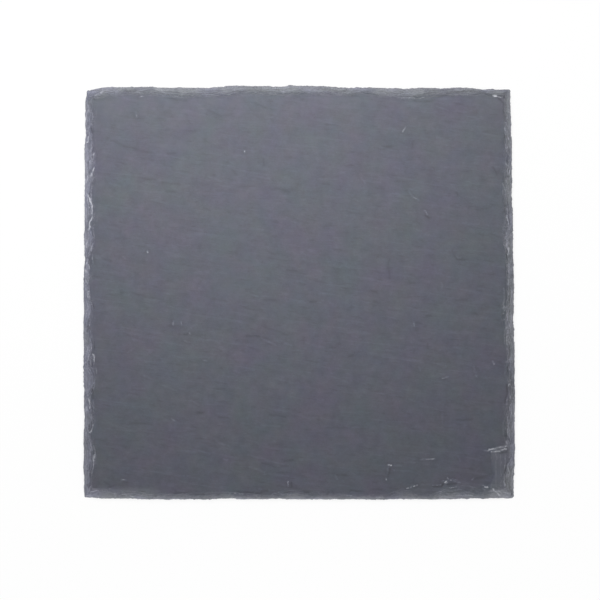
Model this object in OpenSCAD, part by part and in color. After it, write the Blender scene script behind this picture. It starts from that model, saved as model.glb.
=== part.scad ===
// Square drink coaster: one slab of natural slate with a chipped edge,
// standing on four self-adhesive foam pads.
// The origin is on the table, under the middle of the slate. The front edge faces -Y.

/* [Slate] */
// Width of the slate between its front corners
slate_w = 102.5; // [80:0.5:140]
// Depth of the slate between its left corners
slate_d = 97; // [80:0.5:140]
// Thickness of the slate
slate_t = 5; // [4:0.1:8]
// How far a hand-cut edge bows out of the straight line between its corners, at most
edge_bow = 1.2; // [0:0.1:1.6]
// Rounding of a corner, seen from above
corner_r = 0.8; // [0.4:0.1:3]

/* [Chipped edge] */
// How far a full-size chip reaches in over the top face
chip_inset = 2.5; // [1.5:0.1:3.5]
// Height of the upright wall left under a full-size chip
arris_h = 2.2; // [1:0.1:3]
// Length of a trimming chip along the edge: these overlap, so that the whole edge is bevelled
trim_chip_span = 18; // [12:0.5:24]
// Distance between trimming chips along the edge
trim_chip_pitch = 8; // [5:0.5:12]

/* [Cleavage ledges] */
// Thickness of the layer that has split off at a ledge
ledge_t = 0.4; // [0.3:0.1:1]
// How far a ledge reaches in over the top face
ledge_inset = 2.9; // [2:0.1:4]

/* [Underside nibbles] */
// Length of a nibble along the lower edge
nibble_span = 4; // [3:0.1:6]
// How far a nibble bites in under the slate
nibble_inset = 0.7; // [0.4:0.1:1]
// How far a nibble climbs up the wall
nibble_rise = 0.8; // [0.4:0.1:1.2]
// Distance between nibbles along the edge
nibble_pitch = 16; // [8:0.5:30]

/* [Foot pads] */
// Diameter of a foam pad
pad_dia = 12; // [8:0.5:18]
// Thickness of a foam pad
pad_t = 2; // [1.5:0.1:4]
// Rounding of a pad's lower rim
pad_rim_r = 0.5; // [0.2:0.1:0.8]
// Distance from the slate's sides to the middle of a pad
pad_inset = 14; // [12:0.5:24]

/* [Adhesive] */
// Thickness of the double-sided adhesive disc between a pad and the slate
adhesive_t = 0.2; // [0.1:0.05:0.4]
// How far the adhesive disc stays back from the pad's rim
adhesive_margin = 0.4; // [0.2:0.1:1]

/* [Hidden] */
// Heights of the stack, from the table up
adhesive_z = pad_t;
slate_z = adhesive_z + adhesive_t;
slate_top_z = slate_z + slate_t;

// Corners and edges run counter-clockwise from the front left corner and the front edge
corner_names = ["front_left", "front_right", "back_right", "back_left"];
corner_signs = [[-1, -1], [1, -1], [1, 1], [-1, 1]];
sides = len(corner_signs);

// How far each corner is run in from the full width and depth, as shares of them,
// and how round it is, as shares of corner_r
corner_run_in_shares = [[0, 0], [0, -0.002], [0.01, -0.002], [0.0055, 0]];
corner_round_shares = [0.7, 1, 0.6, 0.8];
corner_steps = 4;

// Large chips of the front, right, back and left edges. Each is
// [middle along the edge, length, reach], as shares of the edge, the edge and chip_inset
large_chip_shares = [
    [[0.05, 0.10, 0.95], [0.12, 0.11, 0.70], [0.24, 0.10, 0.60], [0.49, 0.12, 0.85],
     [0.74, 0.09, 0.85], [0.86, 0.13, 1.05], [0.96, 0.11, 1.10]],
    [[0.05, 0.11, 1.10], [0.19, 0.17, 1.00], [0.34, 0.10, 0.90], [0.40, 0.09, 0.95],
     [0.47, 0.17, 0.95], [0.63, 0.10, 0.95], [0.74, 0.11, 0.90], [0.96, 0.10, 0.70]],
    [[0.04, 0.13, 0.75], [0.23, 0.24, 1.05], [0.38, 0.16, 0.80], [0.46, 0.10, 0.65],
     [0.60, 0.18, 0.75], [0.75, 0.18, 0.85], [0.86, 0.15, 0.80], [0.95, 0.12, 0.85]],
    [[0.06, 0.10, 0.85], [0.16, 0.14, 0.95], [0.30, 0.11, 0.90], [0.37, 0.10, 1.00],
     [0.54, 0.10, 0.90], [0.63, 0.12, 1.00], [0.71, 0.10, 1.10], [0.80, 0.11, 1.00],
     [0.91, 0.12, 1.10]]
];

// Ledges of the same four edges, each [middle along the edge, length, reach],
// as shares of the edge, the edge and ledge_inset
ledge_shares = [
    [[0.07, 0.08, 0.80], [0.52, 0.10, 0.80], [0.88, 0.11, 1.10]],
    [[0.17, 0.12, 0.95], [0.45, 0.13, 0.95], [0.66, 0.08, 0.90]],
    [[0.25, 0.13, 1.00], [0.77, 0.12, 0.85]],
    [[0.17, 0.09, 0.95], [0.31, 0.08, 0.95], [0.65, 0.09, 1.00], [0.90, 0.09, 1.10]]
];

// Trimming chips and nibbles are scattered with fixed seeds. The reach of the trimming chips runs
// from the first share of chip_inset to the second, on the same four edges
trim_chip_seed = 11;
nibble_seed = 23;
scatter_share = 0.7;
trim_chip_reach_shares = [[0.4, 0.7], [0.65, 0.95], [0.7, 1], [0.6, 0.95]];
nibble_size_shares = [0.6, 1.2];

// How each of the four edges bows out: [place along the edge, bow], as shares of the edge and edge_bow
edge_bow_shares = [
    [[0, 0], [0.02, 0], [0.04, 0.15], [0.1, 0.24], [0.2, 0.34], [0.29, 0.34], [0.33, 0.13], [0.37, 0.3],
     [0.46, 0.24], [0.55, 0.3], [0.7, 0.26], [0.82, 0.19], [0.94, 0.08], [1, 0]],
    [[0, 0], [0.035, 0], [0.065, 0.15], [0.2, 0.32], [0.33, 0.44], [0.4, 0.33], [0.445, 0.1], [0.475, 0.4],
     [0.535, 0.4], [0.6, 0.27], [0.65, 0.33], [0.72, 0.24], [0.83, 0.27], [0.95, 0.15], [1, 0]],
    [[0, 0], [0.06, 0.05], [0.115, 0.6], [0.15, 0.25], [0.21, 0.45], [0.28, 0.32], [0.35, 0.52], [0.4, 0.5],
     [0.43, 0.75], [0.485, 0.75], [0.515, 1], [0.55, 0.75], [0.6, 0.88], [0.66, 0.92], [0.69, 0.55],
     [0.82, 0.55], [0.87, 0.75], [0.93, 0.6], [0.96, 0.55], [0.98, 0.3], [1, 0]],
    [[0, 0], [0.03, 0.19], [0.11, 0.15], [0.15, 0.25], [0.2, 0.17], [0.26, 0.3], [0.41, 0.24], [0.5, 0.28],
     [0.64, 0.27], [0.75, 0.1], [0.82, 0.07], [0.91, 0.2], [0.94, 0.02], [1, 0]]
];
edge_steps = 50;

// Overrun of a cut past the face that it opens
cut_overrun = 1;
// Faces of a full circle
$fn = 64;

// Corner i of the slate's outline, before it is rounded
function corner(i) = [
    corner_signs[i][0] * slate_w * (1 / 2 - corner_run_in_shares[i][0]),
    corner_signs[i][1] * slate_d * (1 / 2 - corner_run_in_shares[i][1])
];

// Edge i runs from corner i to the next one
function next(i) = (i + 1) % sides;
function edge_run(i) = corner(next(i)) - corner(i);
function edge_length(i) = norm(edge_run(i));
function edge_outward_angle(i) = atan2(edge_run(i)[1], edge_run(i)[0]) - 90;
function edge_outward(i) = [cos(edge_outward_angle(i)), sin(edge_outward_angle(i))];

// Point of edge i at share s of its length
function edge_point(i, s) = corner(i) + s * edge_run(i) +
    edge_bow * lookup(s, edge_bow_shares[i]) * edge_outward(i);

// Rounding of corner i, between the edge that ends there and edge i
function corner_arc(i) =
    let (r = corner_r * corner_round_shares[i], before = (i + sides - 1) % sides)
    let (from = edge_outward_angle(before), turn = edge_outward_angle(i) - from)
    let (sweep = turn < 0 ? turn + 360 : turn)
    [for (k = [0 : corner_steps])
        let (a = from + sweep * k / corner_steps)
        corner(i) - r * (edge_outward(before) + edge_outward(i)) + r * [cos(a), sin(a)]];

// Edge i between its two rounded corners
function edge_line(i) =
    let (first = corner_r * corner_round_shares[i] / edge_length(i))
    let (last = 1 - corner_r * corner_round_shares[next(i)] / edge_length(i))
    [for (k = [1 : edge_steps - 1])
        let (s = first + (last - first) * k / edge_steps)
        edge_point(i, s)];

function slate_outline() = [for (i = [0 : sides - 1]) each concat(corner_arc(i), edge_line(i))];

// Puts its children at share s along edge i, with X pointing out of the slate and Y along the edge
module at_edge(i, s, z) {
    translate([edge_point(i, s)[0], edge_point(i, s)[1], z])
        rotate([0, 0, edge_outward_angle(i)])
            children();
}

// A shell-shaped chip at the origin of an edge: a ball that takes away a length of span of the edge
// line, reaches in by inset over the face and down the wall by drop
module scoop(span, inset, drop) {
    half = span / 2;
    out = (half * half - inset * inset) / (2 * inset);
    up = (half * half - drop * drop) / (2 * drop);
    translate([out, 0, up])
        sphere(r = norm([half, out, up]));
}

// A chip of edge i that reaches in by a share of chip_inset and leaves the upright wall under it
module chip(i, s, span, reach_share) {
    at_edge(i, s, slate_top_z)
        scoop(span, reach_share * chip_inset, sqrt(reach_share) * (slate_t - arris_h));
}

module large_chips(i) {
    for (c = large_chip_shares[i])
        chip(i, c[0], c[1] * edge_length(i), c[2]);
}

module trim_chips(i) {
    count = floor(edge_length(i) / trim_chip_pitch);
    shift = rands(-scatter_share / 2, scatter_share / 2, count, trim_chip_seed + i);
    reach = rands(trim_chip_reach_shares[i][0], trim_chip_reach_shares[i][1], count, trim_chip_seed - i - 1);
    for (k = [0 : count - 1])
        chip(i, (k + 1 / 2 + shift[k]) / count, trim_chip_span * (1 / 2 + reach[k]), reach[k]);
}

// Crescents where the top layer has split off along the cleavage and left a flat ledge
module ledges(i) {
    for (c = ledge_shares[i]) {
        half = c[1] * edge_length(i) / 2;
        inset = c[2] * ledge_inset;
        r = (half * half + inset * inset) / (2 * inset);
        at_edge(i, c[0], slate_top_z - ledge_t)
            translate([r - inset, 0, 0])
                cylinder(r = r, h = ledge_t + cut_overrun);
    }
}

// Small bites along the lower edge
module nibbles(i) {
    count = floor(edge_length(i) / nibble_pitch);
    shift = rands(-scatter_share / 2, scatter_share / 2, count, nibble_seed + i);
    size = rands(nibble_size_shares[0], nibble_size_shares[1], count, nibble_seed - i - 1);
    for (k = [0 : count - 1])
        at_edge(i, (k + 1 / 2 + shift[k]) / count, slate_z)
            mirror([0, 0, 1])
                scoop(nibble_span * size[k], nibble_inset * size[k], nibble_rise * size[k]);
}

module slate_slab() {
    color("#64666f")
        difference() {
            translate([0, 0, slate_z])
                linear_extrude(height = slate_t)
                    polygon(slate_outline());
            for (i = [0 : sides - 1]) {
                large_chips(i);
                trim_chips(i);
                ledges(i);
                nibbles(i);
            }
        }
}

// Middle of the pad at corner i
function pad_place(i) = [
    corner_signs[i][0] * (slate_w / 2 - pad_inset),
    corner_signs[i][1] * (slate_d / 2 - pad_inset)
];

// A foam disc whose lower rim is rounded
module foot_pad(i) {
    pad_r = pad_dia / 2;
    color("#26272a")
        translate(pad_place(i))
            rotate_extrude() {
                translate([0, pad_rim_r])
                    square([pad_r, pad_t - pad_rim_r]);
                square([pad_r - pad_rim_r, pad_t]);
                translate([pad_r - pad_rim_r, pad_rim_r])
                    circle(r = pad_rim_r);
            }
}

module adhesive_disc(i) {
    color("#d9d6c8")
        translate([pad_place(i)[0], pad_place(i)[1], adhesive_z])
            cylinder(d = pad_dia - 2 * adhesive_margin, h = adhesive_t);
}

slate_slab();
for (i = [0 : sides - 1]) {
    foot_pad(i);
    adhesive_disc(i);
}
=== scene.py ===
"""Looks of the slate drink coaster: riven slate with a chipped edge, on four foam pads.

Everything is in metres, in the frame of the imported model: +Z up, the front edge at -Y.
"""

import math

import bmesh
import bpy
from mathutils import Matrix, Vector


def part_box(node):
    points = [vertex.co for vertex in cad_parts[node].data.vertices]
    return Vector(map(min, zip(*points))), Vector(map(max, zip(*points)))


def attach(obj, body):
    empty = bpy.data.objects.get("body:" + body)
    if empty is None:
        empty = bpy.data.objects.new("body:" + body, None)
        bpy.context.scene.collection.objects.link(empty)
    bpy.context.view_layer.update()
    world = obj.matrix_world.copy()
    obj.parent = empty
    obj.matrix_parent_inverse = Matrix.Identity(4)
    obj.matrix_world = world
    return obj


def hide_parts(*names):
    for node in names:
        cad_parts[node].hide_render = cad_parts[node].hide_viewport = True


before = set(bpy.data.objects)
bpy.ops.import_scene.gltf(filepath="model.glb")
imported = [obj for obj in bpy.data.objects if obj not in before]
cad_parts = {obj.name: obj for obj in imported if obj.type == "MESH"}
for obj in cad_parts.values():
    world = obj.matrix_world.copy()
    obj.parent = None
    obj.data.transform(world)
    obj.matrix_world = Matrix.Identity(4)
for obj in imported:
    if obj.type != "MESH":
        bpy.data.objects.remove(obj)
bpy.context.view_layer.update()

MM = 0.001
BODY = "root"
SLATE = "slate_slab"
CORNERS = ("front_left", "front_right", "back_right", "back_left")

# The photograph: its side in pixels, its scale on the slate, and where the slate's front edge,
# and the middle of its width, lie in it
PHOTO_PX = 600
PX_PER_M = 4.209 / MM
PHOTO_MIDDLE_X = 299.1
PHOTO_FRONT_Y = 500.1

# Camera: its height over the table, its nearest sight, and its sensor's width in millimetres
CAMERA_HEIGHT = 900 * MM
CAMERA_NEAR = 10 * MM
SENSOR = 36

# Light: an even dome, and a softbox with a grid high over the back left, which fades towards the front
DOME = 0.6
SOFTBOX_SIZE = 100 * MM
SOFTBOX_PLACE = (-25 * MM, 96 * MM, 450 * MM)
SOFTBOX_SPREAD = math.radians(41)
SOFTBOX_WATTS = 0.12

# Floor: half its side, and how far above it a thing still darkens it
FLOOR_HALF = 2000 * MM
SHADOW_REACH = 4 * MM

# A low white card in front, which lights the front wall
CARD_SIZE = (300 * MM, 60 * MM)
CARD_PLACE = (0, -220 * MM, 40 * MM)
CARD_TILT = math.radians(80)
CARD_WATTS = 0.12

# The slate's upper and lower face
slate_low, slate_high = (Vector(corner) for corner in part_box(SLATE))
SLATE_TOP = slate_high.z
SLATE_BOTTOM = slate_low.z

# Riven relief of the drink face
SWELL_LENGTH = 24 * MM
SWELL_DEPTH = 0.14 * MM
STREAK_ANGLE = math.radians(-7)
STREAK_LENGTH = 5 * MM
STREAK_WIDTH = 1.1 * MM
STREAK_DEPTH = 0.02 * MM

# Patterns of the slate's colour: clouds, soft spots, the finest grain, patches and tones of fresh stone,
# crushed stone, and the length, width and thickness of the layers and of the pale lines between them
CLOUD_SIZE = 9 * MM
MOTTLE_SIZE = 5 * MM
SPOT_SIZE = 2 * MM
GRAIN_SIZE = 0.35 * MM
PATCH_SIZE = 1.3 * MM
TONE_SIZE = 6 * MM
CRUSH_SIZE = 0.8 * MM
LAYER_SIZE = (6 * MM, 6 * MM, 0.35 * MM)
LINE_SIZE = (4 * MM, 4 * MM, 0.3 * MM)

# Strokes along the grain: a shift that tells them apart, their length and width, and how much they
# darken or brighten the stone
STROKES = (
    (0.0, 3.2 * MM, 0.65 * MM, -0.15),
    (40.0, 3.2 * MM, 0.65 * MM, 0.12),
    (80.0, 14 * MM, 1.2 * MM, 0.13),
)

# Pale lines and cracks: the size and reach of their bends, and how far they spread to both sides
BEND_SIZE = 1.2 * MM
BEND_REACH = 0.8 * MM
PALE_REACH = (0.16 * MM, 0.42 * MM)
FLANK_REACH = (0.2 * MM, 0.35 * MM, 0.65 * MM)
CRACK_REACH = 0.35 * MM
STROKE_REACH = 0.5 * MM

MERGE_DISTANCE = 0.0005 * MM
VOXEL = 0.22 * MM
TRIANGLES = 195000
MARK_LEAST = 0.05

# Broken edge
RIM_CLEAR = (0.04 * MM, 0.3 * MM)
FOOT_CLEAR = (0.02 * MM, 0.3 * MM)
EDGE_PASSES = 12
FRONT_BAND = (3 * MM, 6 * MM)
WALL_HEIGHT = 2.2 * MM
FOOT_HEIGHT = 1.6 * MM
FOOT_SHARE = 0.45
SETBACK = 0.32 * MM
WANDER_SIZE = 3.0 * MM
WANDER_REACH = 0.5 * MM
NOTCH_SIZE = 0.8 * MM
NOTCH_REACH = 0.36 * MM
LAMINA_THICKNESS = 0.55 * MM
LAMINA_WARP = 9 * MM
LAMINA_FRONT_SHARE = 0.3
FACET_SIZE = 3.2 * MM
FACET_DEPTH = 0.15 * MM
CRUMB_SIZE = 0.6 * MM
CRUMB_DEPTH = 0.05 * MM
SOFT_PASSES = 40
CORNER_REACH = 3 * MM
LAYER_PASSES = 70
RELIEF_SEED = 4

# Flake scars
SCAR_DEPTH = 0.14 * MM
SCAR_SLOPE_WIDTH = 7 * MM
SCAR_SLOPE_DEPTH = 0.5 * MM
SCAR_LAYER = 0.08 * MM
SCAR_RAGGED = 0.9 * MM
SCAR_FADE = 0.5 * MM

# Foam pads and their adhesive: the rounded lower rim, the waist that the cut pinches, the sharp upper
# edge, the foam's cells and the adhesive's haze
PAD_SEGMENTS = 72
PAD_RIM = 0.5 * MM
PAD_RIM_STEPS = 6
PAD_WAIST = 0.12 * MM
PAD_WAIST_STEPS = 8
PAD_TOP_EDGE = 0.1 * MM
FOAM_CELL = 0.35 * MM
HAZE_SIZE = 1.5 * MM


def linear(hex_colour):
    """An sRGB hex colour as linear red, green, blue and alpha."""
    shares = [int(hex_colour[i:i + 2], 16) / 255 for i in (1, 3, 5)]
    return [s / 12.92 if s <= 0.04045 else ((s + 0.055) / 1.055) ** 2.4 for s in shares] + [1.0]


def add(tree, kind, inputs=None, **settings):
    """Adds a node to a tree, sets its properties, and fills its inputs with values or links."""
    node = tree.nodes.new(kind)
    for name, value in settings.items():
        setattr(node, name, value)
    for key, value in (inputs or {}).items():
        if isinstance(value, bpy.types.NodeSocket):
            tree.links.new(value, node.inputs[key])
        else:
            node.inputs[key].default_value = value
    return node


def new_object(name, data):
    """A new object of the scene, at the origin."""
    item = bpy.data.objects.new(name, data)
    bpy.context.collection.objects.link(item)
    return item


def photo_point(px, py):
    """The point of the drink face that the photograph shows at a pixel."""
    x = (px - PHOTO_MIDDLE_X) / PX_PER_M
    y = slate_low.y + (PHOTO_FRONT_Y - py) / PX_PER_M
    return Vector((x, y, SLATE_TOP))


# Materials

def new_material(name):
    material = bpy.data.materials.new(name)
    material.use_nodes = True
    material.node_tree.nodes.clear()
    return material, material.node_tree


def slate_material():
    """Natural slate split along its cleavage: satin blue-grey with faint purple and green clouds and
    a fine drawn-out grain, and paler, layered stone where the edge was broken. Painted light lightens
    steep faces, the face along the back and the lower wall, and painted shadow flanks the pale lines."""
    material, tree = new_material("riven_slate")
    place = add(tree, "ShaderNodeTexCoord").outputs["Object"]
    turned = add(tree, "ShaderNodeMapping", {
        "Vector": place, "Rotation": (0, 0, -STREAK_ANGLE)}).outputs["Vector"]
    rest = add(tree, "ShaderNodeAttribute", attribute_name="rest_place").outputs["Vector"]
    crest, tone, flaked, flake_crest, bruise, fringe, stroke_side = (
        add(tree, "ShaderNodeAttribute", attribute_name=name).outputs["Fac"]
        for name in ("crest", "tone", "flake_scar", "flake_crest", "bruise", "fringe", "stroke"))

    # Clouds of mineral colour: large ones from green-grey to purple, and small ones from blue to grey
    tints = []
    for pattern, colours in (
            ({"Vector": place, "Scale": 1 / CLOUD_SIZE, "Detail": 4.0, "Roughness": 0.6},
             ("#475255", "#4f495c")),
            ({"Vector": turned, "Scale": 1 / MOTTLE_SIZE, "Detail": 3.0, "Distortion": 0.5},
             ("#464b59", "#4e4e57"))):
        clouds = add(tree, "ShaderNodeTexNoise", pattern)
        cloud_ramp = add(tree, "ShaderNodeValToRGB", {"Fac": clouds.outputs["Fac"]})
        for end, position, colour in zip(cloud_ramp.color_ramp.elements, (0.3, 0.7), colours):
            end.position = position
            end.color = linear(colour)
        tints.append(cloud_ramp.outputs["Color"])
    tint = add(tree, "ShaderNodeMix", {"Factor": 0.5, "A": tints[0], "B": tints[1]}, data_type="RGBA")

    # Shade: fine grain, soft spots, and sparse strokes along the grain: short dark and pale ones, and
    # long pale ones
    grain = add(tree, "ShaderNodeTexNoise", {
        "Vector": place, "Scale": 1 / GRAIN_SIZE, "Detail": 2.0, "Roughness": 0.6})
    spots = add(tree, "ShaderNodeTexNoise", {
        "Vector": turned, "Scale": 1 / SPOT_SIZE, "Detail": 3.0, "Roughness": 0.55})
    grain_part = add(tree, "ShaderNodeMapRange", {
        "Value": grain.outputs["Fac"], "To Min": -0.2, "To Max": 0.2})
    spot_part = add(tree, "ShaderNodeMapRange", {
        "Value": spots.outputs["Fac"], "To Min": 0.74, "To Max": 1.26})
    shade = add(tree, "ShaderNodeMath", {
        0: grain_part.outputs["Result"], 1: spot_part.outputs["Result"]}, operation="ADD").outputs["Value"]
    for shift, length, width, deepest in STROKES:
        stroke_place = add(tree, "ShaderNodeMapping", {
            "Vector": turned, "Location": (shift, shift, shift),
            "Scale": (1 / length, 1 / width, 1 / width)})
        strokes = add(tree, "ShaderNodeTexNoise", {
            "Vector": stroke_place.outputs["Vector"], "Scale": 1.0, "Detail": 3.0, "Distortion": 0.8})
        stroke = add(tree, "ShaderNodeMapRange", {
            "Value": strokes.outputs["Fac"], "From Min": 0.56, "From Max": 0.72, "To Max": deepest})
        shade = add(tree, "ShaderNodeMath", {
            0: shade, 1: stroke.outputs["Result"]}, operation="ADD").outputs["Value"]
    face = add(tree, "ShaderNodeVectorMath", {
        0: tint.outputs["Result"], "Scale": shade}, operation="SCALE")

    # Fresh stone shows more and more towards the outline and in patches, and wherever the surface is steep
    # it is painted lighter too: painted light that cancels the shade steep faces get. None of it is on the
    # underside, which is a split face too
    normal = add(tree, "ShaderNodeNewGeometry").outputs["Normal"]
    upwards = add(tree, "ShaderNodeSeparateXYZ", {0: normal}).outputs["Z"]
    off_underside = add(tree, "ShaderNodeMapRange", {
        "Value": upwards, "From Min": -0.9, "From Max": -0.5}).outputs["Result"]
    rest_height = add(tree, "ShaderNodeSeparateXYZ", {0: rest}).outputs["Z"]
    broken = add(tree, "ShaderNodeMapRange", {
        "Value": rest_height, "From Min": SLATE_TOP - 0.05 * MM, "From Max": SLATE_TOP - 0.6 * MM,
        "To Max": off_underside}).outputs["Result"]
    low_share = add(tree, "ShaderNodeMapRange", {
        "Value": rest_height, "From Min": SLATE_TOP - 0.05 * MM, "From Max": SLATE_TOP - 1.8 * MM})
    worn_share = add(tree, "ShaderNodeMapRange", {"Value": tone, "To Min": 0.65, "To Max": 0.8})
    patches = add(tree, "ShaderNodeTexNoise", {
        "Vector": place, "Scale": 1 / PATCH_SIZE, "Detail": 4.0, "Roughness": 0.65})
    patch_share = add(tree, "ShaderNodeMapRange", {
        "Value": patches.outputs["Fac"], "From Min": 0.3, "From Max": 0.7, "To Min": 0.6, "To Max": 1.4})
    fresh_most = add(tree, "ShaderNodeMath", {
        0: worn_share.outputs["Result"], 1: patch_share.outputs["Result"]}, operation="MULTIPLY")
    upper_side = add(tree, "ShaderNodeMapRange", {"Value": upwards, "From Min": 0.15, "From Max": 0.4})
    # Painted light: steep faces are painted lighter, to cancel the shade that the lights give them
    steep_painted_light = add(tree, "ShaderNodeMapRange", {
        "Value": upwards, "From Min": 1.0, "From Max": 0.0, "To Max": 0.75})
    fresh_and_slope_light = add(tree, "ShaderNodeMath", {
        0: low_share.outputs["Result"], 1: fresh_most.outputs["Value"],
        2: steep_painted_light.outputs["Result"]}, operation="MULTIPLY_ADD", use_clamp=True)
    fresh = add(tree, "ShaderNodeMath", {
        0: fresh_and_slope_light.outputs["Value"], 1: off_underside}, operation="MULTIPLY").outputs["Value"]

    # Its tone runs from lilac along the left to grey, in clouds and in thin layers, which are faint on the
    # front bevel away from its ends. Along the back it is rubbed, and painted a little paler as painted
    # light from behind.
    tones = add(tree, "ShaderNodeTexNoise", {"Vector": place, "Scale": 1 / TONE_SIZE, "Detail": 2.0})
    spot = add(tree, "ShaderNodeSeparateXYZ", {0: place}).outputs
    sides = add(tree, "ShaderNodeSeparateXYZ", {0: rest}).outputs
    from_left = add(tree, "ShaderNodeMapRange", {
        "Value": sides["X"], "From Min": slate_low.x + 2 * MM, "From Max": slate_low.x + 5 * MM,
        "To Min": -0.2, "To Max": 0.1})
    front = add(tree, "ShaderNodeMapRange", {
        "Value": sides["Y"], "From Min": slate_low.y + FRONT_BAND[1],
        "From Max": slate_low.y + FRONT_BAND[0]})
    to_side = add(tree, "ShaderNodeMath", {0: sides["X"]}, operation="ABSOLUTE")
    off_corner = add(tree, "ShaderNodeMapRange", {
        "Value": to_side.outputs["Value"], "From Min": slate_high.x - 2.5 * MM,
        "From Max": slate_high.x - 4.5 * MM, "To Max": upper_side.outputs["Result"]})
    front_bevel = add(tree, "ShaderNodeMath", {
        0: front.outputs["Result"], 1: off_corner.outputs["Result"]}, operation="MULTIPLY").outputs["Value"]
    to_end = {"Value": to_side.outputs["Value"], "From Min": slate_high.x - 24 * MM,
              "From Max": slate_high.x - 16 * MM}
    front_least = add(tree, "ShaderNodeMapRange", dict(to_end, **{"To Min": 0.15, "To Max": 0.45}))
    rim_least = add(tree, "ShaderNodeMapRange", dict(to_end, **{"To Min": 0.28, "To Max": 0.5}))
    front_share = add(tree, "ShaderNodeMapRange", {
        "Value": front_bevel, "To Min": 1.0,
        "To Max": front_least.outputs["Result"]}).outputs["Result"]
    # Along the back: fewer crushed lines from wear, and painted light that makes the face there paler
    back_wear_and_light = add(tree, "ShaderNodeMapRange", {
        "Value": sides["Y"], "From Min": slate_high.y - 8 * MM, "From Max": slate_high.y - 4 * MM,
        "To Min": 1.0, "To Max": 0.3}).outputs["Result"]
    back_painted_light = add(tree, "ShaderNodeMapRange", {
        "Value": back_wear_and_light, "From Min": 1.0, "From Max": 0.3, "To Min": 1.0, "To Max": 1.07})
    tone_sum = add(tree, "ShaderNodeMath", {
        0: tones.outputs["Fac"], 1: from_left.outputs["Result"]}, operation="ADD")
    tone_ramp = add(tree, "ShaderNodeValToRGB", {"Fac": tone_sum.outputs["Value"]})
    tone_ends = zip(tone_ramp.color_ramp.elements, (0.35, 0.65), ("#7c7e8d", "#7b7e83"))
    for end, position, colour in tone_ends:
        end.position = position
        end.color = linear(colour)
    layer_place = add(tree, "ShaderNodeMapping", {
        "Vector": rest, "Scale": [1 / size for size in LAYER_SIZE]})
    layers = add(tree, "ShaderNodeTexNoise", {
        "Vector": layer_place.outputs["Vector"], "Scale": 1.0, "Detail": 3.0, "Roughness": 0.55})
    layer_range = add(tree, "ShaderNodeMapRange", {
        "Value": layers.outputs["Fac"], "From Min": 0.3, "From Max": 0.7, "To Min": 0.72, "To Max": 1.28})
    layer_share = add(tree, "ShaderNodeMath", {0: broken, 1: front_share}, operation="MULTIPLY")
    layer_shade = add(tree, "ShaderNodeMix", {
        "Factor": layer_share.outputs["Value"], "A": back_painted_light.outputs["Result"],
        "B": layer_range.outputs["Result"]}, data_type="FLOAT")
    # On the front bevel mostly the rim itself is fresh, about a millimetre wide
    from_tone = add(tree, "ShaderNodeMath", {
        0: tones.outputs["Fac"], 1: -2.4 * MM, 2: spot["Y"]}, operation="MULTIPLY_ADD")
    rim_share = add(tree, "ShaderNodeMapRange", {
        "Value": from_tone.outputs["Value"], "From Min": slate_low.y - 0.5 * MM,
        "From Max": slate_low.y + 0.6 * MM, "To Min": 0.75, "To Max": rim_least.outputs["Result"]})
    fresh_front = add(tree, "ShaderNodeMix", {
        "Factor": front_bevel, "A": 1.0, "B": rim_share.outputs["Result"]}, data_type="FLOAT")
    fresh_seen = add(tree, "ShaderNodeMath", {
        0: fresh, 1: fresh_front.outputs["Result"]}, operation="MULTIPLY")
    flake_share = add(tree, "ShaderNodeMath", {
        0: flaked, 1: 0.2, 2: fresh_seen.outputs["Value"]}, operation="MULTIPLY_ADD")
    # The face is worn pale beside the left end of the front bevel
    worn_end = add(tree, "ShaderNodeMapRange", {
        "Value": sides["X"], "From Min": slate_low.x + 22 * MM, "From Max": slate_low.x + 15 * MM,
        "To Max": upper_side.outputs["Result"]})
    worn_band = add(tree, "ShaderNodeMapRange", {
        "Value": from_tone.outputs["Value"], "From Min": slate_low.y + 2.2 * MM,
        "From Max": slate_low.y + 1.2 * MM, "To Max": worn_end.outputs["Result"]})
    pale_share = add(tree, "ShaderNodeMath", {
        0: worn_band.outputs["Result"], 1: 0.2, 2: flake_share.outputs["Value"]}, operation="MULTIPLY_ADD")
    plain_stone = add(tree, "ShaderNodeMix", {
        "Factor": pale_share.outputs["Value"], "A": face.outputs["Vector"],
        "B": tone_ramp.outputs["Color"]}, data_type="RGBA")
    stone = add(tree, "ShaderNodeVectorMath", {
        0: plain_stone.outputs["Result"], "Scale": layer_shade.outputs["Result"]}, operation="SCALE")

    # Crushed pale stone on the layers' edges and on the crests of the shells, broken up by the grain
    crisp = add(tree, "ShaderNodeMath", {
        0: back_wear_and_light, 1: layer_share.outputs["Value"]}, operation="MULTIPLY")
    line_place = add(tree, "ShaderNodeMapping", {
        "Vector": rest, "Location": (31, 17, 5), "Scale": [1 / size for size in LINE_SIZE]})
    lines = add(tree, "ShaderNodeTexNoise", {
        "Vector": line_place.outputs["Vector"], "Scale": 1.0, "Detail": 2.0, "Roughness": 0.5})
    line_sum = add(tree, "ShaderNodeMath", {
        0: grain.outputs["Fac"], 1: 0.15, 2: lines.outputs["Fac"]}, operation="MULTIPLY_ADD")
    line_amount = add(tree, "ShaderNodeMapRange", {
        "Value": line_sum.outputs["Value"], "From Min": 0.68, "From Max": 0.8,
        "To Max": crisp.outputs["Value"]})
    lined = add(tree, "ShaderNodeMix", {
        "Factor": line_amount.outputs["Result"], "A": stone.outputs["Vector"], "B": linear("#9c9ca8")},
        data_type="RGBA")
    crest_share = add(tree, "ShaderNodeMath", {0: crest, 1: crisp.outputs["Value"]}, operation="MULTIPLY")
    crest_amount = add(tree, "ShaderNodeMapRange", {
        "Value": grain.outputs["Fac"], "From Min": 0.4, "From Max": 0.62,
        "To Max": crest_share.outputs["Value"]})
    crest_part = add(tree, "ShaderNodeMath", {
        0: crest_amount.outputs["Result"], 1: 0.3}, operation="MULTIPLY")
    crest_all = add(tree, "ShaderNodeMath", {
        0: flake_crest, 1: 0.15, 2: crest_part.outputs["Value"]}, operation="MULTIPLY_ADD")
    crested = add(tree, "ShaderNodeMix", {
        "Factor": crest_all.outputs["Value"], "A": lined.outputs["Result"], "B": linear("#b4b4bf")},
        data_type="RGBA")
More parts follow.
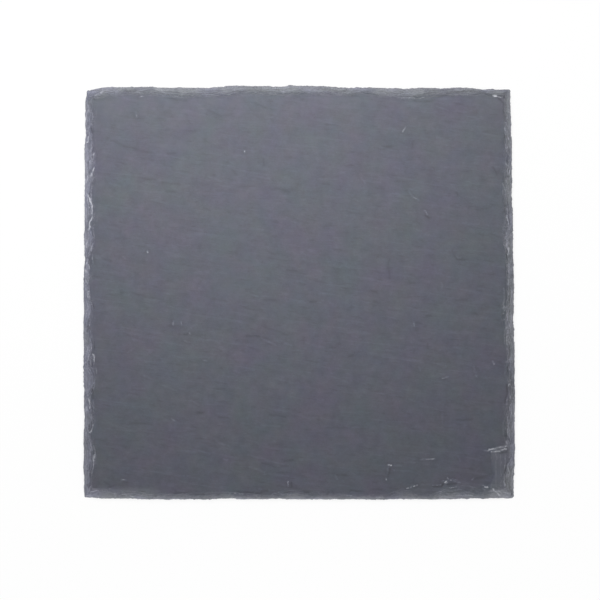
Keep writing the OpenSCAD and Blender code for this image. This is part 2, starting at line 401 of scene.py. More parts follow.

    # Pale lines, uneven along their length, with soft sides and flanks of painted shadow, and the dark
    # cracks
    fringe_share = add(tree, "ShaderNodeMapRange", {
        "Value": grain.outputs["Fac"], "From Min": 0.3, "From Max": 0.55, "To Max": fringe})
    fringe_shade = add(tree, "ShaderNodeMapRange", {
        "Value": fringe_share.outputs["Result"], "To Min": 1.0, "To Max": 0.6})
    stroke_shade = add(tree, "ShaderNodeMath", {
        0: stroke_side, 1: 0.38, 2: 1.0}, operation="MULTIPLY_ADD")
    crack_shade = add(tree, "ShaderNodeMath", {
        0: fringe_shade.outputs["Result"], 1: stroke_shade.outputs["Value"]}, operation="MULTIPLY")
    cracked = add(tree, "ShaderNodeVectorMath", {
        0: crested.outputs["Result"], "Scale": crack_shade.outputs["Value"]}, operation="SCALE")
    crushed = add(tree, "ShaderNodeTexNoise", {
        "Vector": place, "Scale": 1 / CRUSH_SIZE, "Detail": 3.0, "Roughness": 0.7})
    uneven = add(tree, "ShaderNodeMath", {
        0: crushed.outputs["Fac"], 1: 2.0, 2: bruise}, operation="MULTIPLY_ADD")
    bruise_sum = add(tree, "ShaderNodeMath", {0: broken, 1: 0.15, 2: bruise}, operation="MULTIPLY_ADD")
    bruise_most = add(tree, "ShaderNodeMapRange", {
        "Value": bruise_sum.outputs["Value"], "From Min": 0.3, "From Max": 0.6}).outputs["Result"]
    bruise_amount = add(tree, "ShaderNodeMapRange", {
        "Value": uneven.outputs["Value"], "From Min": 1.1, "From Max": 2.0,
        "To Max": bruise_most})
    bruised = add(tree, "ShaderNodeMix", {
        "Factor": bruise_amount.outputs["Result"], "A": cracked.outputs["Vector"],
        "B": linear("#bfc1c8")}, data_type="RGBA")

    # The lower part of the upright wall is painted paler: painted bounce light from the white floor
    foot_painted_light = add(tree, "ShaderNodeMapRange", {
        "Value": spot["Z"], "From Min": SLATE_BOTTOM + 2.3 * MM, "From Max": SLATE_BOTTOM + 3.2 * MM,
        "To Min": 0.3, "To Max": 0.0})
    foot_light_share = add(tree, "ShaderNodeMath", {0: foot_painted_light.outputs["Result"], 1: broken}, operation="MULTIPLY")
    colour = add(tree, "ShaderNodeMix", {
        "Factor": foot_light_share.outputs["Value"], "A": bruised.outputs["Result"],
        "B": linear("#9c9ca6")}, data_type="RGBA")

    # The split face has a satin sheen from its mica, the broken edge hardly any
    tooth = add(tree, "ShaderNodeTexNoise", {
        "Vector": place, "Scale": 1 / GRAIN_SIZE, "Detail": 4.0, "Roughness": 0.6})
    face_rough = add(tree, "ShaderNodeMapRange", {
        "Value": tooth.outputs["Fac"], "From Min": 0.3, "From Max": 0.7, "To Min": 0.58, "To Max": 0.7})
    rough = add(tree, "ShaderNodeMix", {
        "Factor": broken, "A": face_rough.outputs["Result"], "B": 0.8}, data_type="FLOAT")
    tooth_share = add(tree, "ShaderNodeMath", {0: broken, 1: 1.5, 2: 1.0}, operation="MULTIPLY_ADD")
    tooth_height = add(tree, "ShaderNodeMath", {
        0: tooth.outputs["Fac"], 1: tooth_share.outputs["Value"]}, operation="MULTIPLY")
    tooth_bump = add(tree, "ShaderNodeBump", {
        "Height": tooth_height.outputs["Value"], "Strength": 0.4, "Distance": 0.03 * MM})
    layer_height = add(tree, "ShaderNodeMath", {
        0: layers.outputs["Fac"], 1: broken}, operation="MULTIPLY")
    layer_bump = add(tree, "ShaderNodeBump", {
        "Height": layer_height.outputs["Value"], "Strength": 0.7, "Distance": 0.2 * MM,
        "Normal": tooth_bump.outputs["Normal"]})
    surface = add(tree, "ShaderNodeBsdfPrincipled", {
        "Base Color": colour.outputs["Result"], "Roughness": rough.outputs["Result"], "IOR": 1.55,
        "Specular IOR Level": 0.4, "Normal": layer_bump.outputs["Normal"]})
    add(tree, "ShaderNodeOutputMaterial", {"Surface": surface.outputs["BSDF"]})
    return material


def foam_material():
    """Closed-cell EVA foam, sliced and die-cut: matt charcoal with fine open cells on every face."""
    material, tree = new_material("eva_foam")
    place = add(tree, "ShaderNodeTexCoord").outputs["Object"]
    cells = add(tree, "ShaderNodeTexVoronoi", {"Vector": place, "Scale": 1 / FOAM_CELL})
    shade = add(tree, "ShaderNodeValToRGB", {"Fac": cells.outputs["Distance"]})
    shade.color_ramp.elements[0].color = linear("#1c1c1e")
    shade.color_ramp.elements[1].position = 0.6
    shade.color_ramp.elements[1].color = linear("#343437")
    bump = add(tree, "ShaderNodeBump", {
        "Height": cells.outputs["Distance"], "Strength": 0.6, "Distance": 0.08 * MM})
    surface = add(tree, "ShaderNodeBsdfPrincipled", {
        "Base Color": shade.outputs["Color"], "Roughness": 0.85, "IOR": 1.48,
        "Normal": bump.outputs["Normal"]})
    add(tree, "ShaderNodeOutputMaterial", {"Surface": surface.outputs["BSDF"]})
    return material


def adhesive_material():
    """Acrylic pressure-sensitive film: pale, slightly cloudy and a little glossy."""
    material, tree = new_material("acrylic_adhesive")
    place = add(tree, "ShaderNodeTexCoord").outputs["Object"]
    haze = add(tree, "ShaderNodeTexNoise", {"Vector": place, "Scale": 1 / HAZE_SIZE, "Detail": 2.0})
    shade = add(tree, "ShaderNodeValToRGB", {"Fac": haze.outputs["Fac"]})
    shade.color_ramp.elements[0].color = linear("#c9c4b2")
    shade.color_ramp.elements[1].color = linear("#e2dfd3")
    surface = add(tree, "ShaderNodeBsdfPrincipled", {
        "Base Color": shade.outputs["Color"], "Roughness": 0.35, "IOR": 1.47})
    add(tree, "ShaderNodeOutputMaterial", {"Surface": surface.outputs["BSDF"]})
    return material


# Slate

RELIEF_SIZES = {
    "Top Height": SLATE_TOP, "Bottom Height": SLATE_BOTTOM,
    "Swell Length": SWELL_LENGTH, "Swell Depth": SWELL_DEPTH, "Streak Angle": STREAK_ANGLE,
    "Streak Length": STREAK_LENGTH, "Streak Width": STREAK_WIDTH, "Streak Depth": STREAK_DEPTH,
    "Wall Height": WALL_HEIGHT, "Foot Height": FOOT_HEIGHT, "Foot Share": FOOT_SHARE, "Setback": SETBACK,
    "Wander Size": WANDER_SIZE, "Wander Reach": WANDER_REACH,
    "Notch Size": NOTCH_SIZE, "Notch Reach": NOTCH_REACH,
    "Lamina Thickness": LAMINA_THICKNESS, "Lamina Warp": LAMINA_WARP, "Front Share": LAMINA_FRONT_SHARE,
    "Facet Size": FACET_SIZE, "Facet Depth": FACET_DEPTH,
    "Crumb Size": CRUMB_SIZE, "Crumb Depth": CRUMB_DEPTH, "Scar Depth": SCAR_DEPTH,
    "Scar Slope Width": SCAR_SLOPE_WIDTH, "Scar Slope Depth": SCAR_SLOPE_DEPTH,
    "Scar Layer": SCAR_LAYER, "Half Width": slate_high.x, "Corner Reach": CORNER_REACH,
    "Seed": float(RELIEF_SEED),
}


def edge_moves(tree, given, scales, place, layer_height, normal, edge, near_edge):
    """Moves that break up the chipped edge: a wandering rim, stepped layers, facets and crumbs."""
    parts = add(tree, "ShaderNodeSeparateXYZ", {0: place}).outputs
    foot_top = add(tree, "ShaderNodeMath", {
        0: given["Bottom Height"], 1: given["Foot Height"]}, operation="ADD")
    upper = add(tree, "ShaderNodeMapRange", {
        "Value": parts["Z"], "From Min": given["Bottom Height"], "From Max": foot_top.outputs["Value"],
        "To Min": given["Foot Share"], "To Max": 1.0}).outputs["Result"]

    # The rim wanders sideways, in long waves and in small notches, which run on down the wall
    sideways = []
    for size, reach, height_share in (
            ("Wander Size", "Wander Reach", 1.0), ("Notch Size", "Notch Reach", 0.35)):
        drawn_out = add(tree, "ShaderNodeVectorMath", {
            0: place, 1: (1.0, 1.0, height_share)}, operation="MULTIPLY")
        waves = add(tree, "ShaderNodeTexNoise", {
            "Vector": drawn_out.outputs["Vector"], "W": given["Seed"], "Scale": scales[size],
            "Detail": 2.0}, noise_dimensions="4D")
        centred = add(tree, "ShaderNodeVectorMath", {
            0: waves.outputs["Color"], 1: (0.5, 0.5, 0.5)}, operation="SUBTRACT")
        flat = add(tree, "ShaderNodeVectorMath", {
            0: centred.outputs["Vector"], 1: (2.0, 2.0, 0.0)}, operation="MULTIPLY")
        sideways.append(add(tree, "ShaderNodeVectorMath", {
            0: flat.outputs["Vector"], "Scale": given[reach]}, operation="SCALE").outputs["Vector"])
    both = add(tree, "ShaderNodeVectorMath", {0: sideways[0], 1: sideways[1]}, operation="ADD")
    flat_normal = add(tree, "ShaderNodeVectorMath", {0: normal, 1: (1.0, 1.0, 0.0)}, operation="MULTIPLY")
    setback = add(tree, "ShaderNodeVectorMath", {
        0: flat_normal.outputs["Vector"], "Scale": given["Setback"]}, operation="SCALE")
    wander = add(tree, "ShaderNodeVectorMath", {
        0: both.outputs["Vector"], 1: setback.outputs["Vector"]}, operation="SUBTRACT")
    wander_share = add(tree, "ShaderNodeMath", {0: near_edge, 1: upper}, operation="MULTIPLY")
    wander_move = add(tree, "ShaderNodeVectorMath", {
        0: wander.outputs["Vector"], "Scale": wander_share.outputs["Value"]}, operation="SCALE")

    # Layers: the slope becomes treads and risers, at heights that drift along the edge, worn down in front
    warp = add(tree, "ShaderNodeTexNoise", {
        "Vector": place, "W": given["Seed"], "Scale": scales["Lamina Warp"], "Detail": 3.0},
        noise_dimensions="4D")
    layers_up = add(tree, "ShaderNodeMath", {
        0: layer_height, 1: given["Lamina Thickness"]}, operation="DIVIDE")
    layer_place = add(tree, "ShaderNodeMath", {
        0: warp.outputs["Fac"], 1: 6.0, 2: layers_up.outputs["Value"]}, operation="MULTIPLY_ADD")
    layer_part = add(tree, "ShaderNodeMath", {0: layer_place.outputs["Value"]}, operation="FRACT")
    stepped = add(tree, "ShaderNodeMapRange", {
        "Value": layer_part.outputs["Value"], "From Min": 0.3, "From Max": 0.7},
        interpolation_type="SMOOTHSTEP")
    step_part = add(tree, "ShaderNodeMath", {
        0: stepped.outputs["Result"], 1: layer_part.outputs["Value"]}, operation="SUBTRACT")
    step_height = add(tree, "ShaderNodeMath", {
        0: step_part.outputs["Value"], 1: given["Lamina Thickness"]}, operation="MULTIPLY")
    front_share = add(tree, "ShaderNodeMapRange", {
        "Value": parts["Y"], "From Min": slate_low.y + FRONT_BAND[0],
        "From Max": slate_low.y + FRONT_BAND[1], "To Min": given["Front Share"], "To Max": 1.0})
    step_share = add(tree, "ShaderNodeMath", {
        0: edge, 1: front_share.outputs["Result"]}, operation="MULTIPLY")
    step_edge = add(tree, "ShaderNodeMath", {
        0: step_height.outputs["Value"], 1: step_share.outputs["Value"]}, operation="MULTIPLY")
    step_move = add(tree, "ShaderNodeCombineXYZ", {"Z": step_edge.outputs["Value"]})

    # Facets are shallow shells, one in each flattened cell, which meet in crests, and crumbs roughen them
    bent = add(tree, "ShaderNodeVectorMath", {0: place, 1: both.outputs["Vector"]}, operation="ADD")
    flattened = add(tree, "ShaderNodeVectorMath", {
        0: bent.outputs["Vector"], 1: (1.0, 1.0, 2.0)}, operation="MULTIPLY")
    cells = {"Vector": flattened.outputs["Vector"], "W": given["Seed"], "Scale": scales["Facet Size"]}
    facets = add(tree, "ShaderNodeTexVoronoi", cells, voronoi_dimensions="4D")
    shell = add(tree, "ShaderNodeMapRange", {
        "Value": facets.outputs["Distance"], "From Min": 0.1, "From Max": 0.8,
        "To Min": given["Facet Depth"], "To Max": 0.0})
    borders = add(tree, "ShaderNodeTexVoronoi", cells, voronoi_dimensions="4D", feature="DISTANCE_TO_EDGE")
    crest = add(tree, "ShaderNodeMapRange", {
        "Value": borders.outputs["Distance"], "From Min": 0.02, "From Max": 0.12,
        "To Min": 1.0, "To Max": 0.0})
    tone = add(tree, "ShaderNodeSeparateXYZ", {0: facets.outputs["Color"]}).outputs["X"]
    crumbs = add(tree, "ShaderNodeTexNoise", {
        "Vector": place, "W": given["Seed"], "Scale": scales["Crumb Size"], "Detail": 3.0},
        noise_dimensions="4D")
    crumb_cut = add(tree, "ShaderNodeMath", {
        0: crumbs.outputs["Fac"], 1: given["Crumb Depth"]}, operation="MULTIPLY")
    crumb_edge = add(tree, "ShaderNodeMath", {
        0: crumb_cut.outputs["Value"], 1: edge}, operation="MULTIPLY")
    shell_edge = add(tree, "ShaderNodeMath", {
        0: shell.outputs["Result"], 1: near_edge}, operation="MULTIPLY")
    cut = add(tree, "ShaderNodeMath", {
        0: crumb_edge.outputs["Value"], 1: shell_edge.outputs["Value"]}, operation="ADD")
    cut_upper = add(tree, "ShaderNodeMath", {0: cut.outputs["Value"], 1: upper}, operation="MULTIPLY")
    inwards = add(tree, "ShaderNodeVectorMath", {
        0: normal, "Scale": cut_upper.outputs["Value"]}, operation="SCALE")
    step_and_cut = add(tree, "ShaderNodeVectorMath", {
        0: step_move.outputs["Vector"], 1: inwards.outputs["Vector"]}, operation="SUBTRACT")
    move = add(tree, "ShaderNodeVectorMath", {
        0: wander_move.outputs["Vector"], 1: step_and_cut.outputs["Vector"]}, operation="ADD")
    shelled = add(tree, "ShaderNodeMapRange", {
        "Value": shell_edge.outputs["Value"], "From Min": 0.04 * MM, "From Max": 0.16 * MM})
    fresh = add(tree, "ShaderNodeMath", {0: edge, 1: shelled.outputs["Result"]}, operation="MAXIMUM")
    return move.outputs["Vector"], fresh.outputs["Value"], crest.outputs["Result"], tone


def face_move(tree, given, scales, place):
    """Swells and drawn-out streaks of the drink face, and shallow streaks of the flat underside."""
    parts = add(tree, "ShaderNodeSeparateXYZ", {0: place}).outputs
    rise = add(tree, "ShaderNodeMapRange", {
        "Value": parts["Z"], "From Min": given["Bottom Height"], "From Max": given["Top Height"]})
    swells = add(tree, "ShaderNodeTexNoise", {
        "Vector": place, "W": given["Seed"], "Scale": scales["Swell Length"], "Detail": 2.0},
        noise_dimensions="4D")
    turned = add(tree, "ShaderNodeVectorRotate", {
        "Vector": place, "Angle": given["Streak Angle"]}, rotation_type="Z_AXIS", invert=True)
    streak_size = add(tree, "ShaderNodeCombineXYZ", {
        "X": given["Streak Length"], "Y": given["Streak Width"], "Z": given["Streak Width"]})
    streak_place = add(tree, "ShaderNodeVectorMath", {
        0: turned.outputs["Vector"], 1: streak_size.outputs["Vector"]}, operation="DIVIDE")
    streaks = add(tree, "ShaderNodeTexNoise", {
        "Vector": streak_place.outputs["Vector"], "W": given["Seed"], "Scale": 1.0, "Detail": 3.0,
        "Distortion": 0.6}, noise_dimensions="4D")
    streak_cut = add(tree, "ShaderNodeMath", {
        0: streaks.outputs["Fac"], 1: given["Streak Depth"]}, operation="MULTIPLY")
    cut = add(tree, "ShaderNodeMath", {
        0: swells.outputs["Fac"], 1: given["Swell Depth"], 2: streak_cut.outputs["Value"]},
        operation="MULTIPLY_ADD")
    drop = add(tree, "ShaderNodeMath", {
        0: cut.outputs["Value"], 1: rise.outputs["Result"]}, operation="MULTIPLY")
    fall = add(tree, "ShaderNodeMath", {0: 1.0, 1: rise.outputs["Result"]}, operation="SUBTRACT")
    lift = add(tree, "ShaderNodeMath", {
        0: streak_cut.outputs["Value"], 1: fall.outputs["Value"]}, operation="MULTIPLY")
    both = add(tree, "ShaderNodeMath", {
        0: lift.outputs["Value"], 1: drop.outputs["Value"]}, operation="SUBTRACT")
    return add(tree, "ShaderNodeCombineXYZ", {"Z": both.outputs["Value"]}).outputs["Vector"]


def scar_move(tree, given, scales, place, upper_side):
    """Shallow scars where a thin flake has come off the drink face, with a ragged outline."""
    waves = add(tree, "ShaderNodeTexNoise", {
        "Vector": place, "W": given["Seed"], "Scale": scales["Notch Size"], "Detail": 3.0},
        noise_dimensions="4D")
    centred = add(tree, "ShaderNodeVectorMath", {
        0: waves.outputs["Color"], 1: (0.5, 0.5, 0.5)}, operation="SUBTRACT")
    ragged = add(tree, "ShaderNodeVectorMath", {
        0: centred.outputs["Vector"], "Scale": SCAR_RAGGED}, operation="SCALE")
    moved = add(tree, "ShaderNodeVectorMath", {0: place, 1: ragged.outputs["Vector"]}, operation="ADD")
    parts = add(tree, "ShaderNodeSeparateXYZ", {0: moved.outputs["Vector"]}).outputs
    on_face = add(tree, "ShaderNodeCombineXYZ", {
        "X": parts["X"], "Y": parts["Y"], "Z": given["Top Height"]})
    shapes = add(tree, "GeometryNodeObjectInfo", {"Object": given["Scars"]}).outputs["Geometry"]
    near = add(tree, "GeometryNodeProximity", {
        0: shapes, "Sample Position": on_face.outputs["Vector"]}, target_element="FACES")
    inside = add(tree, "ShaderNodeMapRange", {
        "Value": near.outputs["Distance"], "From Min": 0.0, "From Max": SCAR_FADE,
        "To Min": upper_side, "To Max": 0.0}).outputs["Result"]
    to_side = add(tree, "ShaderNodeMath", {0: given["Half Width"], 1: parts["X"]}, operation="SUBTRACT")
    slope = add(tree, "ShaderNodeMapRange", {
        "Value": to_side.outputs["Value"], "From Min": 0.0, "From Max": given["Scar Slope Width"],
        "To Min": given["Scar Slope Depth"], "To Max": 0.0})
    layers_down = add(tree, "ShaderNodeMath", {
        0: slope.outputs["Result"], 1: given["Scar Layer"]}, operation="DIVIDE")
    layer_part = add(tree, "ShaderNodeMath", {0: layers_down.outputs["Value"]}, operation="FRACT")
    whole_layers = add(tree, "ShaderNodeMath", {0: layers_down.outputs["Value"]}, operation="FLOOR")
    slope_steps = add(tree, "ShaderNodeMath", {
        0: whole_layers.outputs["Value"], 1: given["Scar Layer"], 2: given["Scar Depth"]},
        operation="MULTIPLY_ADD")
    drop = add(tree, "ShaderNodeMath", {0: slope_steps.outputs["Value"], 1: inside}, operation="MULTIPLY")
    crest = add(tree, "ShaderNodeMapRange", {
        "Value": layer_part.outputs["Value"], "From Min": 0.75, "From Max": 1.0, "To Max": inside})
    sink = add(tree, "ShaderNodeMath", {0: drop.outputs["Value"], 1: -1.0}, operation="MULTIPLY")
    move = add(tree, "ShaderNodeCombineXYZ", {"Z": sink.outputs["Value"]}).outputs["Vector"]
    sloping = add(tree, "ShaderNodeMath", {0: slope.outputs["Result"], 1: given["Scar Layer"]},
                  operation="GREATER_THAN")
    toned = add(tree, "ShaderNodeMath", {0: inside, 1: sloping.outputs["Value"]}, operation="MULTIPLY")
    return move, crest.outputs["Result"], toned.outputs["Value"]


def relief_tree():
    """Geometry Nodes that turn the even slab into riven slate with a broken edge."""
    tree = bpy.data.node_groups.new("riven_relief", "GeometryNodeTree")
    tree.interface.new_socket("Geometry", in_out="OUTPUT", socket_type="NodeSocketGeometry")
    sockets = [("Geometry", "Geometry")] + [(name, "Float") for name in RELIEF_SIZES]
    sockets += [("Worn Corner", "Vector"), ("Pale Lines", "Object"), ("Scars", "Object"),
                ("Material", "Material")]
    for name, kind in sockets:
        tree.interface.new_socket(name, in_out="INPUT", socket_type="NodeSocket" + kind)
    given = add(tree, "NodeGroupInput").outputs
    scales = {}
    for size in ("Swell Length", "Wander Size", "Notch Size", "Lamina Warp", "Facet Size", "Crumb Size"):
        scales[size] = add(tree, "ShaderNodeMath", {
            0: 1.0, 1: given[size]}, operation="DIVIDE").outputs["Value"]
    place = add(tree, "GeometryNodeInputPosition").outputs["Position"]
    normal = add(tree, "GeometryNodeInputNormal").outputs["Normal"]
    height = add(tree, "ShaderNodeSeparateXYZ", {0: place}).outputs["Z"]

    # The broken edge is what lies clear of both faces
    depth = add(tree, "ShaderNodeMath", {0: given["Top Height"], 1: height}, operation="SUBTRACT")
    lift = add(tree, "ShaderNodeMath", {0: height, 1: given["Bottom Height"]}, operation="SUBTRACT")
    below_rim = add(tree, "ShaderNodeMapRange", {
        "Value": depth.outputs["Value"], "From Min": RIM_CLEAR[0], "From Max": RIM_CLEAR[1]},
        interpolation_type="SMOOTHSTEP")
    above_foot = add(tree, "ShaderNodeMapRange", {
        "Value": lift.outputs["Value"], "From Min": FOOT_CLEAR[0], "From Max": FOOT_CLEAR[1]},
        interpolation_type="SMOOTHSTEP")
    edge = add(tree, "ShaderNodeMath", {
        0: below_rim.outputs["Result"], 1: above_foot.outputs["Result"]},
        operation="MULTIPLY").outputs["Value"]
    blurred = add(tree, "GeometryNodeBlurAttribute", {"Value": edge, "Iterations": EDGE_PASSES},
                  data_type="FLOAT")
    near_edge = add(tree, "ShaderNodeMapRange", {
        "Value": blurred.outputs["Value"], "From Min": 0.0, "From Max": 0.4}).outputs["Result"]

    # Wear has rounded the rim and the ridges between the chips, and one corner from top to bottom, and
    # the layers run on through them
    worn = add(tree, "GeometryNodeBlurAttribute", {"Value": place, "Iterations": SOFT_PASSES},
               data_type="FLOAT_VECTOR").outputs["Value"]
    to_worn = add(tree, "ShaderNodeVectorMath", {0: worn, 1: place}, operation="SUBTRACT")
    wall_top = add(tree, "ShaderNodeMath", {
        0: given["Bottom Height"], 1: given["Wall Height"]}, operation="ADD")
    upper_share = add(tree, "ShaderNodeMapRange", {
        "Value": height, "From Min": wall_top.outputs["Value"], "From Max": given["Top Height"]})
    from_corner = add(tree, "ShaderNodeVectorMath", {
        0: place, 1: given["Worn Corner"]}, operation="SUBTRACT")
    beside_corner = add(tree, "ShaderNodeVectorMath", {
        0: from_corner.outputs["Vector"], 1: (1.0, 1.0, 0.0)}, operation="MULTIPLY")
    to_corner = add(tree, "ShaderNodeVectorMath", {0: beside_corner.outputs["Vector"]}, operation="LENGTH")
    corner_share = add(tree, "ShaderNodeMapRange", {
        "Value": to_corner.outputs["Value"], "From Min": 0.0, "From Max": given["Corner Reach"],
        "To Min": 1.0, "To Max": 0.0})
    wear_share = add(tree, "ShaderNodeMath", {
        0: upper_share.outputs["Result"], 1: corner_share.outputs["Result"]}, operation="MAXIMUM")
    wear = add(tree, "ShaderNodeVectorMath", {
        0: to_worn.outputs["Vector"], "Scale": wear_share.outputs["Value"]}, operation="SCALE")
    layer_run = add(tree, "GeometryNodeBlurAttribute", {"Value": place, "Iterations": LAYER_PASSES},
                    data_type="FLOAT_VECTOR").outputs["Value"]
    layer_height = add(tree, "ShaderNodeSeparateXYZ", {0: layer_run}).outputs["Z"]

    broken, fresh, crest, tone = edge_moves(
        tree, given, scales, place, layer_height, normal, edge, near_edge)
    riven = face_move(tree, given, scales, place)
    upper_side = add(tree, "ShaderNodeMapRange", {
        "Value": add(tree, "ShaderNodeSeparateXYZ", {0: normal}).outputs["Z"],
        "From Min": 0.1, "From Max": 0.3}).outputs["Result"]
    flaked, scar_crest, scarred = scar_move(tree, given, scales, place, upper_side)
    top_share = add(tree, "ShaderNodeMapRange", {
        "Value": depth.outputs["Value"], "From Min": 0.0, "From Max": 0.6 * MM,
        "To Min": 1.0, "To Max": 0.0})
    scars = add(tree, "ShaderNodeVectorMath", {
        0: flaked, "Scale": top_share.outputs["Result"]}, operation="SCALE")
    face_moves = add(tree, "ShaderNodeVectorMath", {0: scars.outputs["Vector"], 1: riven}, operation="ADD")
    edge_and_wear = add(tree, "ShaderNodeVectorMath", {
        0: broken, 1: wear.outputs["Vector"]}, operation="ADD")
    move = add(tree, "ShaderNodeVectorMath", {
        0: edge_and_wear.outputs["Vector"], 1: face_moves.outputs["Vector"]}, operation="ADD")

    # Pale lines: how close a point of the upper side is to one, seen from above, and how strong it is
    bends = add(tree, "ShaderNodeTexNoise", {
        "Vector": place, "W": given["Seed"], "Scale": 1 / BEND_SIZE, "Detail": 3.0}, noise_dimensions="4D")
    bend = add(tree, "ShaderNodeVectorMath", {
        0: bends.outputs["Color"], 1: (0.5, 0.5, 0.5)}, operation="SUBTRACT")
    bent = add(tree, "ShaderNodeVectorMath", {
        0: bend.outputs["Vector"], 1: (BEND_REACH, BEND_REACH, 0.0), 2: place}, operation="MULTIPLY_ADD")
    seen = add(tree, "ShaderNodeSeparateXYZ", {0: bent.outputs["Vector"]}).outputs
    from_above = add(tree, "ShaderNodeCombineXYZ", {
        "X": seen["X"], "Y": seen["Y"], "Z": given["Top Height"]}).outputs["Vector"]
    lines = add(tree, "GeometryNodeObjectInfo", {"Object": given["Pale Lines"]}).outputs["Geometry"]
    near = add(tree, "GeometryNodeProximity", {0: lines, "Sample Position": from_above},
               target_element="EDGES").outputs["Distance"]
    nearest = add(tree, "GeometryNodeSampleNearest", {"Geometry": lines, "Sample Position": from_above},
                  domain="EDGE")
    strength = add(tree, "GeometryNodeInputNamedAttribute", {"Name": "strength"}, data_type="FLOAT")
    sampled = add(tree, "GeometryNodeSampleIndex", {
        "Geometry": lines, "Value": strength.outputs["Attribute"], "Index": nearest.outputs["Index"]},
        data_type="FLOAT", domain="EDGE")
    strong = add(tree, "ShaderNodeMath", {
        0: sampled.outputs["Value"], 1: upper_side}, operation="MULTIPLY").outputs["Value"]
    pale = add(tree, "ShaderNodeMath", {0: strong, 1: 0.0}, operation="MAXIMUM").outputs["Value"]
    pale_reach = add(tree, "ShaderNodeMapRange", {
        "Value": bends.outputs["Fac"], "From Min": 0.35, "From Max": 0.65,
        "To Min": PALE_REACH[0], "To Max": PALE_REACH[1]})
    bruise = add(tree, "ShaderNodeMapRange", {
        "Value": near, "From Min": 0.0, "From Max": pale_reach.outputs["Result"],
        "To Min": pale, "To Max": 0.0})
    # A flank of painted shadow lies beside each pale line
    beside = add(tree, "ShaderNodeMapRange", {
        "Value": near, "From Min": FLANK_REACH[0], "From Max": FLANK_REACH[1], "To Max": pale})
    shadow = add(tree, "ShaderNodeMapRange", {
        "Value": near, "From Min": FLANK_REACH[1], "From Max": FLANK_REACH[2],
        "To Min": beside.outputs["Result"], "To Max": 0.0})
    dark = add(tree, "ShaderNodeMath", {0: strong, 1: -1.6}, operation="MULTIPLY")
    crack = add(tree, "ShaderNodeMapRange", {
        "Value": near, "From Min": 0.0, "From Max": CRACK_REACH,
        "To Min": dark.outputs["Value"], "To Max": 0.0})
    fringe = add(tree, "ShaderNodeMath", {
        0: shadow.outputs["Result"], 1: crack.outputs["Result"]}, operation="MAXIMUM")
    stroke = add(tree, "ShaderNodeMapRange", {
        "Value": near, "From Min": 0.0, "From Max": STROKE_REACH, "To Min": strong, "To Max": 0.0})

    geometry = add(tree, "GeometryNodeStoreNamedAttribute", {
        "Geometry": given["Geometry"], "Name": "rest_place", "Value": layer_run},
        data_type="FLOAT_VECTOR", domain="POINT").outputs["Geometry"]
    for name, value in (("fresh_break", fresh), ("crest", crest), ("tone", tone),
                        ("bruise", bruise.outputs["Result"]),
                        ("fringe", fringe.outputs["Value"]), ("stroke", stroke.outputs["Result"]),
                        ("flake_scar", scarred), ("flake_crest", scar_crest)):
        geometry = add(tree, "GeometryNodeStoreNamedAttribute", {
            "Geometry": geometry, "Name": name, "Value": value},
            data_type="FLOAT", domain="POINT").outputs["Geometry"]
    moved = add(tree, "GeometryNodeSetPosition", {
        "Geometry": geometry, "Offset": move.outputs["Vector"]})
    smooth = add(tree, "GeometryNodeSetShadeSmooth", {"Geometry": moved.outputs["Geometry"]})
    whole = add(tree, "GeometryNodeRealizeInstances", {"Geometry": smooth.outputs["Geometry"]})
    finish = add(tree, "GeometryNodeSetMaterial", {
        "Geometry": whole.outputs["Geometry"], "Material": given["Material"]})
    add(tree, "NodeGroupOutput", {"Geometry": finish.outputs["Geometry"]})
    return tree


